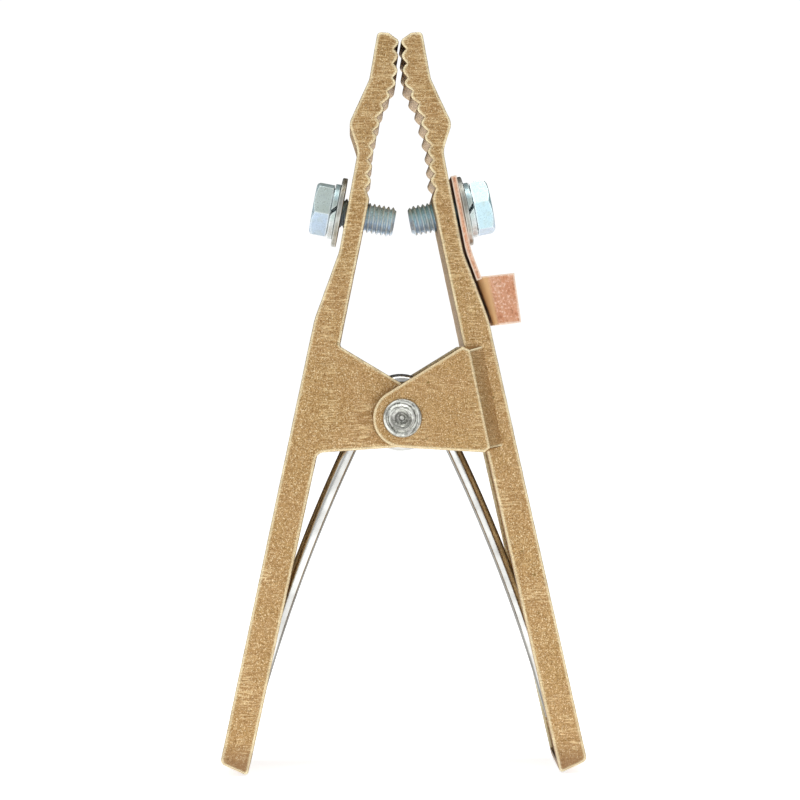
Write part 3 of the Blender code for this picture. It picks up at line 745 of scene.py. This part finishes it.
def softened(obj, width, segments=2, angle=35):
    """Rounds the sharp edges of a machined or stamped piece."""
    bevel = obj.modifiers.new("edges", "BEVEL")
    bevel.width = width
    bevel.segments = segments
    bevel.limit_method = "ANGLE"
    bevel.angle_limit = math.radians(angle)
    return applied(obj)


# ---- the arms ----


def inner_ear(name, side, front):
    """An ear level with the arm's side, front (-1) or back (1)."""
    outer = front * ARM_WIDTH / 2
    return cast_slab(name, mirrored(flush_ear_outline(), side), outer, outer - front * EAR_THICKNESS)


def outer_ear(name, side, front):
    """An ear over the other arm's ear, whose far end slopes down to the arm's side."""
    side_face = ARM_WIDTH / 2
    rings = []
    for k in range(EDGE_STEPS + 1):
        turn = math.pi / 2 * k / EDGE_STEPS
        outline = evenly(mirrored(proud_ear_outline(FLAT_END), side), CAST_STEP * 4)
        into = [CAST_EDGE * (1 - math.sin(turn))] * len(outline)
        depth = EAR_FACE - CAST_EDGE * (1 - math.cos(turn))
        rings.append([(p.x, front * depth, p.y) for p in inset(outline, into)])
    low = mirrored(proud_ear_outline(SLOPE_END), side)
    high = mirrored(proud_ear_outline(FLAT_END), side)
    for depth in (side_face, side_face - MM):
        outline = []
        for k, (a, b) in enumerate(zip(low, low[1:] + low[:1])):
            before, after = high[k], high[(k + 1) % len(high)]
            count = max(1, math.ceil((after - before).length / (CAST_STEP * 4)))
            outline += [a + (b - a) * (n / count) for n in range(count)]
        rings.append([(p.x, front * depth, p.y) for p in outline])
    ear = loft(name, rings)
    upper, lower = Vector(EAR_HIGH_CORNER), Vector(EAR_LOW_CORNER)
    along = (upper - lower).normalized()
    ledge = Vector((-along.y, along.x)) * EAR_LEDGE
    upper += ledge + along * LEDGE_REACH
    lower += ledge - along * LEDGE_REACH
    outline = mirrored([upper, Vector((-20 * MM, upper.y)), Vector((-20 * MM, lower.y)), lower], side)
    under = block(f"{name}_under", outline, front * (side_face + EAR_STEP), front * side_face / 2)
    boolean(ear, under, "DIFFERENCE")
    return ear


def arm(node, side, make_ear):
    """A cast arm: toothed jaw, two ears on the pivot, and a handle that is a channel open inwards."""
    body = cast_slab(node, mirrored(arm_outline(), side), -ARM_WIDTH / 2, ARM_WIDTH / 2, seed=side)
    hollow = ARM_WIDTH / 2 - FLANGE_THICKNESS
    boolean(body, cast_slab("channel", mirrored(channel_outline(), side), -hollow, hollow), "DIFFERENCE")
    for front in (-1, 1):
        boolean(body, make_ear("ear", side, front), "UNION")
    bore = [(0, ARM_WIDTH), (BORE_RADIUS, ARM_WIDTH), (BORE_RADIUS, -ARM_WIDTH), (0, -ARM_WIDTH)]
    boolean(body, turned("bore", bore, along_y()), "DIFFERENCE")
    depth, mouth = ARM_WIDTH / 2, TAPPED_HOLE + TAPPED_MOUTH
    tapped = [(0, depth), (mouth, depth), (mouth, 0), (TAPPED_HOLE, -TAPPED_MOUTH)]
    tapped += [(TAPPED_HOLE, -depth), (0, -depth)]
    boolean(body, turned("tapped", tapped, terminal_frame(side)), "DIFFERENCE")
    return finished(body, node, node, "brass", sharp=40)


# ---- the pivot and its spring ----


def pivot_rivet():
    """A semi-tubular rivet: a rolled flare round its hole in front, a low dome behind."""
    face = EAR_FACE + RIVET_GAP
    top = face + RIVET_HEAD_HEIGHT
    floor = top - RIVET_HOLE_DEPTH
    flare = [
        (RIVET_HOLE, top - 0.75 * MM),
        (1.85 * MM, top - 0.40 * MM),
        (2.15 * MM, top - 0.12 * MM),
        (2.60 * MM, top),
        (3.05 * MM, top - 0.06 * MM),
        (3.35 * MM, top - 0.34 * MM),
        (3.60 * MM, top - 0.52 * MM),
        (4.00 * MM, top - 0.42 * MM),
        (4.45 * MM, top - 0.45 * MM),
        (4.80 * MM, top - 0.68 * MM),
        (RIVET_HEAD, top - 1.00 * MM),
        (RIVET_HEAD, face + 0.25 * MM),
        (RIVET_HEAD - 0.2 * MM, face),
    ]
    dome_steps = 10
    dome = []
    for k in range(dome_steps + 1):
        turn = math.pi / 2 * k / dome_steps
        dome.append((RIVET_HEAD * math.cos(turn), -face - RIVET_HEAD_HEIGHT * math.sin(turn)))
    dome[-1] = (0, dome[-1][1])
    profile = [(0, floor - 0.8 * MM), (RIVET_HOLE, floor), *flare]
    profile += [(RIVET_SHANK, face), (RIVET_SHANK, -face), *dome]
    rivet = turned("rivet", profile, along_y())
    for vertex in rivet.data.vertices:
        if vertex.co.y < -face:
            vertex.co.y += RIVET_DENT * (1 + noise.noise(vertex.co / (1.3 * MM)))
    return finished(rivet, "left_arm", "pivot_rivet", "rivet_steel")


def spring_spacer():
    """A tube on the rivet that keeps the inner ears apart."""
    half = ARM_WIDTH / 2 - EAR_THICKNESS - 0.3 * MM
    bore, edge = RIVET_SHANK + 0.3 * MM, 0.3 * MM
    profile = [(bore, half), (SPACER_OUTER - edge, half), (SPACER_OUTER, half - edge)]
    profile += [(SPACER_OUTER, edge - half), (SPACER_OUTER - edge, -half), (bore, -half)]
    return finished(turned("spacer", profile, along_y()), "left_arm", "spring_spacer", "rivet_steel")


def spring_leg(start, side):
    """A leg's points beyond the coil: it leaves along the tangent and bows towards the vertical."""
    points, here = [], start
    for k in range(LEG_STEPS):
        lean = LEG_ANGLE - LEG_BOW * (k + 0.5) / LEG_STEPS
        here = here + Vector((side * math.sin(lean), 0, -math.cos(lean))) * LEG_LENGTH / LEG_STEPS
        points.append(here)
    return points


def spring_line():
    """The middle of the spring's wire: left leg, coil from front to back, right leg."""
    centre = Vector((0, 0, PIVOT_Z + COIL_RISE))
    steps = round(COIL_STEPS * COIL_WRAP / (2 * math.pi))
    coil = []
    for k in range(steps + 1):
        turn = math.pi - LEG_ANGLE - COIL_WRAP * k / steps
        y = COIL_LENGTH * (k / steps - 0.5)
        coil.append(centre + Vector((COIL_RADIUS * math.cos(turn), y, COIL_RADIUS * math.sin(turn))))
    return spring_leg(coil[0], -1)[::-1] + coil + spring_leg(coil[-1], 1)


def tube_rings(line, radius, sides):
    """Rings of points square to a line, with a small chamfer at each end."""
    rings = []
    across = Vector((0, 1, 0))
    turns = [2 * math.pi * n / sides for n in range(sides)]
    for k, here in enumerate(line):
        along = (line[min(k + 1, len(line) - 1)] - line[max(k - 1, 0)]).normalized()
        first = (across - along * across.dot(along)).normalized()
        second = along.cross(first)
        ring = [(first * math.cos(t) + second * math.sin(t)) for t in turns]
        if k in (0, len(line) - 1):
            inward = along if k == 0 else -along
            near = [here + p * (radius - WIRE_CHAMFER) for p in ring]
            far = [here + inward * WIRE_CHAMFER + p * radius for p in ring]
            rings += [near, far] if k == 0 else [far, near]
        else:
            rings.append([here + p * radius for p in ring])
    return rings


def torsion_spring():
    """The spring, which follows each arm with one leg and winds up in its coil."""
    spring = loft("spring", tube_rings(spring_line(), WIRE / 2, WIRE_SIDES))
    spring.name = "torsion_spring_look"
    spring.data.materials.append(MATERIALS["spring_steel"])
    spring.data.shade_smooth()
    spring.data.set_sharp_from_angle(angle=math.radians(35))
    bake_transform(spring)
    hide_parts("torsion_spring")
    return spring


# ---- the screw terminals ----


def thread_radius(turns_along, from_tip, from_head):
    """The thread's radius at a share of a turn, running out under the head and at the chamfered tip."""
    share = turns_along % 1
    slope = min(1.0, max(0.0, (abs(share - 0.5) - 0.06) / 0.36))
    depth = THREAD_DEPTH * slope * min(1.0, max(0.0, from_head / (1.2 * MM)))
    chamfer = max(0.0, 0.9 * MM - from_tip)
    return min(SCREW_RADIUS - depth, SCREW_RADIUS - chamfer)


def threaded_shank(name, head_z, place):
    """A screw's shank with one real helical thread, from inside the head to the tip."""
    sides, steps_per_turn = 36, 12
    tip = head_z - SCREW_LENGTH
    count = round(SCREW_LENGTH / SCREW_PITCH * steps_per_turn)
    rings = []
    for k in range(count + 1):
        z = tip + SCREW_LENGTH * k / count
        ring = []
        for n in range(sides):
            turn = 2 * math.pi * n / sides
            r = thread_radius(z / SCREW_PITCH - n / sides, z - tip, head_z - z)
            ring.append(place @ Vector((r * math.cos(turn), r * math.sin(turn), z)))
        rings.append(ring)
    into_head = place.to_3x3() @ Vector((0, 0, MM))
    rings.append([point + into_head for point in rings[-1]])
    return loft(name, rings)


def hex_head(name, side, head_z):
    """A forged hexagon head: chamfered crown, softened edges, and a thin washer face under it."""
    place = terminal_frame(side)
    corner = HEX_ACROSS_FLATS / math.sqrt(3)
    turns = [math.pi / 6 + math.pi * k / 3 - HEX_TURN for k in range(6)]
    low, high = head_z + BEARING_HEIGHT, head_z + HEX_HEIGHT
    flat = [Vector((corner * math.cos(t), corner * math.sin(t), 0)) for t in turns]
    head = loft(name, [[place @ (point + Vector((0, 0, z))) for point in flat] for z in (low, high)])
    drop = (HEX_CLEAR - HEX_CROWN) * math.tan(math.pi / 6)
    profile = [(0, high), (HEX_CROWN, high), (HEX_CLEAR, high - drop), (HEX_CLEAR, low), (0, low)]
    boolean(head, turned("crown", profile, place), "INTERSECT")
    softened(head, 0.28 * MM, segments=3, angle=25)
    inside = head_z + BEARING_HEIGHT + 0.5 * MM
    ring = [(0, inside), (HEX_BEARING, inside), (HEX_BEARING, head_z), (0, head_z)]
    boolean(head, turned("washer_face", ring, place), "UNION")
    return head


def terminal_screw(prefix, side, head_z):
    """One arm's screw. The left one's zinc has aged to a greyer tone."""
    head = hex_head("head", side, head_z)
    boolean(head, threaded_shank("shank", head_z, terminal_frame(side)), "UNION")
    look = "aged_zinc" if side < 0 else "bright_zinc"
    return finished(head, f"{prefix}_screw", f"{prefix}_terminal_screw", "bright_zinc", sharp=28, look=look)


def flat_washer(prefix, side, low):
    """A stamped washer: rolled over on one face, with a slight burr on the other."""
    inner, outer, thick = FLAT_WASHER
    roll, burr = 0.32 * MM, 0.1 * MM
    profile = [(inner + burr, low + thick), (outer - roll, low + thick)]
    for k in range(1, 4):
        turn = math.pi / 2 * k / 3
        profile.append((outer - roll * (1 - math.sin(turn)), low + thick - roll * (1 - math.cos(turn))))
    profile += [(outer, low + burr), (outer - burr, low), (inner, low), (inner, low + thick - burr)]
    washer = turned("flat_washer", profile, terminal_frame(side), sides=96)
    return finished(washer, f"{prefix}_washers", f"{prefix}_flat_washer", "washer_steel")


def lock_section():
    """The lock washer's chamfered section as (radius, height) points."""
    inner, outer, thick = LOCK_WASHER
    e = LOCK_EDGE
    top = [(inner + e, thick), (outer - e, thick), (outer, thick - e)]
    bottom = [(outer, e), (outer - e, 0), (inner + e, 0), (inner, e)]
    return [*top, *bottom, (inner, thick - e)]


def lock_washer(prefix, side, low):
    """A split spring washer, its slanting cut to the front."""
    middle = LOCK_WASHER[2] / 2
    place = terminal_frame(side)
    rings = []
    for k in range(LOCK_STEPS + 1):
        share = k / LOCK_STEPS
        turn = -math.pi / 2 + LOCK_GAP / 2 + (2 * math.pi - LOCK_GAP) * share
        slant = LOCK_SLANT if share in (0, 1) else 0
        ring = []
        for r, z in lock_section():
            lean = turn - slant * (z - middle) / r
            ring.append(place @ Vector((r * math.cos(lean), r * math.sin(lean), low + z)))
        rings.append(ring)
    washer = loft("lock_washer", rings)
    return finished(washer, f"{prefix}_washers", f"{prefix}_lock_washer", "washer_steel", look="lock_zinc")


def terminal(prefix, side, lift):
    """The flat washer, lock washer and screw of one arm, with the flat washer this far off the arm."""
    flat_washer(prefix, side, lift)
    lock_z = lift + FLAT_WASHER[2] + STACK_GAP
    lock_washer(prefix, side, lock_z)
    terminal_screw(prefix, side, lock_z + LOCK_WASHER[2] + STACK_GAP)


def barrel_section(radius, height):
    """Half of the barrel's U section as (across, out) points, from its floor to a wing's edge and back."""
    half = LUG_WIDTH / 2
    outside, inside = [], []
    for k in range(9):
        turn = math.pi / 2 * k / 8
        outside.append((half - radius * (1 - math.sin(turn)), radius * (1 - math.cos(turn))))
        bend = radius - LUG_THICKNESS
        inside.append((half - radius + bend * math.sin(turn), radius - bend * math.cos(turn)))
    return [*outside, (half, height), (half - LUG_THICKNESS, height), *inside[::-1]]


def cable_lug():
    """A copper lug: a flat palm under the screw, and an open U barrel to crimp round the cable."""
    place = terminal_frame(1)
    low, high, half = RIGHT_LIFT, RIGHT_LIFT + LUG_THICKNESS, LUG_WIDTH / 2
    along = Vector((math.cos(LUG_BEND_ANGLE), math.sin(LUG_BEND_ANGLE)))
    out = Vector((-along.y, along.x))
    bend = Vector((LUG_BEND, low))
    palm_end = bend + along * (BARREL_START + MM)
    reach = LUG_THICKNESS * math.tan(LUG_BEND_ANGLE / 2)
    palm_edge = palm_end + out * LUG_THICKNESS
    corners = [(LUG_TOP, low, 0), (LUG_BEND, low, 14 * MM), (*palm_end, 0)]
    corners += [(*palm_edge, 0), (LUG_BEND - reach, high, 12.5 * MM), (LUG_TOP, high, 0)]
    lug = block("lug", with_arcs(corners), -half, half)
    steps = 10
    rings = []
    for k in range(steps + 1):
        share = k / steps
        distance = BARREL_START + (BARREL_END - BARREL_START) * share
        height = BARREL_HEIGHTS[0] + (BARREL_HEIGHTS[1] - BARREL_HEIGHTS[0]) * share
        radius = BARREL_RADII[0] + (BARREL_RADII[1] - BARREL_RADII[0]) * share
        side_points = barrel_section(radius, height)
        section = side_points + [(-across, rise) for across, rise in side_points[::-1]]
        foot = bend + along * distance
        rising = out + along * BARREL_SKEW
        points = [(foot + rising * rise, across) for across, rise in section]
        rings.append([(p.x, across, p.y) for p, across in points])
    boolean(lug, loft("barrel", rings), "UNION")
    hole = [(0, 10 * MM), (LUG_HOLE, 10 * MM), (LUG_HOLE, -5 * MM), (0, -5 * MM)]
    boolean(lug, turned("hole", hole, Matrix.Identity(4)), "DIFFERENCE")
    lug.data.transform(place)
    softened(lug, 0.16 * MM)
    return finished(lug, "cable_lug", "cable_lug", "copper")


# ---- the stage ----


def backdrop():
    """A plain pale floor."""
    half = 3.0
    top, bottom = -0.2 * MM, -20 * MM
    outline = [Vector((-half, -half)), Vector((half, -half)), Vector((half, half)), Vector((-half, half))]
    floor = loft("floor", [[(p.x, p.y, z) for p in outline] for z in (bottom, top)])
    surface = bpy.data.materials.new("floor")
    surface.use_nodes = True
    shader = surface.node_tree.nodes["Principled BSDF"]
    shader.inputs["Base Color"].default_value = (0.93, 0.93, 0.93, 1)
    shader.inputs["Roughness"].default_value = 0.8
    shader.inputs["Emission Color"].default_value = (1, 1, 1, 1)
    shader.inputs["Emission Strength"].default_value = 0.75
    floor.data.materials.append(surface)


def soft_light(name, place, size, power):
    """A white soft box that points at the clamp's middle."""
    data = bpy.data.lights.new(name, "AREA")
    data.shape = "RECTANGLE"
    data.size, data.size_y = size
    data.energy = power
    light = bpy.data.objects.new(name, data)
    light.location = place
    light.rotation_euler = (Vector((0, 0, 0.1)) - Vector(place)).to_track_quat("-Z", "Y").to_euler()
    bpy.context.scene.collection.objects.link(light)


def studio():
    """White behind the clamp as seen; for the metal to reflect, bright sides, a dark back and soft boxes."""
    world = bpy.data.worlds.new("studio")
    bpy.context.scene.world = world
    world.use_nodes = True
    tree = world.node_tree
    background = tree.nodes["Background"]
    where = tree.nodes.new("ShaderNodeTexCoord").outputs["Generated"]
    parts = tree.nodes.new("ShaderNodeSeparateXYZ")
    tree.links.new(where, parts.inputs[0])
    ramp = tree.nodes.new("ShaderNodeValToRGB")
    share = tree.nodes.new("ShaderNodeMapRange")
    share.inputs["From Min"].default_value = -1
    tree.links.new(parts.outputs["Y"], share.inputs["Value"])
    tree.links.new(share.outputs["Result"], ramp.inputs["Fac"])
    stops = ramp.color_ramp.elements
    stops[0].position, stops[1].position = STUDIO_TONES[0][0], STUDIO_TONES[-1][0]
    for position, _ in STUDIO_TONES[1:-1]:
        stops.new(position)
    for stop, (position, tone) in zip(stops, STUDIO_TONES):
        stop.color = (tone, tone, tone, 1)
    seen = tree.nodes.new("ShaderNodeLightPath").outputs["Is Camera Ray"]
    mix = tree.nodes.new("ShaderNodeMix")
    mix.data_type = "RGBA"
    tree.links.new(seen, mix.inputs["Factor"])
    tree.links.new(ramp.outputs["Color"], mix.inputs[6])
    mix.inputs[7].default_value = SEEN_WHITE
    tree.links.new(mix.outputs[2], background.inputs["Color"])
    soft_light("key", (-0.5, -0.75, 0.55), (0.35, 0.6), 0.5)
    soft_light("fill", (0.5, -0.8, 0.3), (0.25, 0.6), 0.3)
    soft_light("side", (-0.7, -0.45, 0.15), (0.3, 0.5), 0.35)
    soft_light("top", (0, -0.1, 0.9), (0.9, 0.4), 2.6)


def camera():
    """A long lens a little above and to the left of the clamp's front."""
    distance = 667 * MM
    frame_width = 207.4 * MM  # at the arms' front face
    pitch, yaw, roll = math.radians(1.0), math.radians(1.1), math.radians(-0.32)
    target = Vector((-0.5 * MM, -ARM_WIDTH / 2, 97.5 * MM))
    sight = Vector((math.sin(yaw) * math.cos(pitch), math.cos(yaw) * math.cos(pitch), -math.sin(pitch)))
    data = bpy.data.cameras.new("camera")
    data.lens = data.sensor_width * distance / frame_width
    data.clip_start = 0.01
    made = bpy.data.objects.new("camera", data)
    made.location = target - sight * distance
    made.rotation_mode = "QUATERNION"
    made.rotation_quaternion = sight.to_track_quat("-Z", "Y") @ Matrix.Rotation(roll, 3, "Z").to_quaternion()
    bpy.context.scene.collection.objects.link(made)
    bpy.context.scene.camera = made


def main():
    """The twelve pieces of the clamp, then the studio round it."""
    arm("left_arm", -1, inner_ear)
    arm("right_arm", 1, outer_ear)
    pivot_rivet()
    spring_spacer()
    torsion_spring()
    terminal("left", -1, LEFT_LIFT)
    terminal("right", 1, RIGHT_LIFT + LUG_THICKNESS + STACK_GAP)
    cable_lug()
    backdrop()
    studio()
    camera()
    bpy.context.scene.view_settings.view_transform = "Standard"


main()
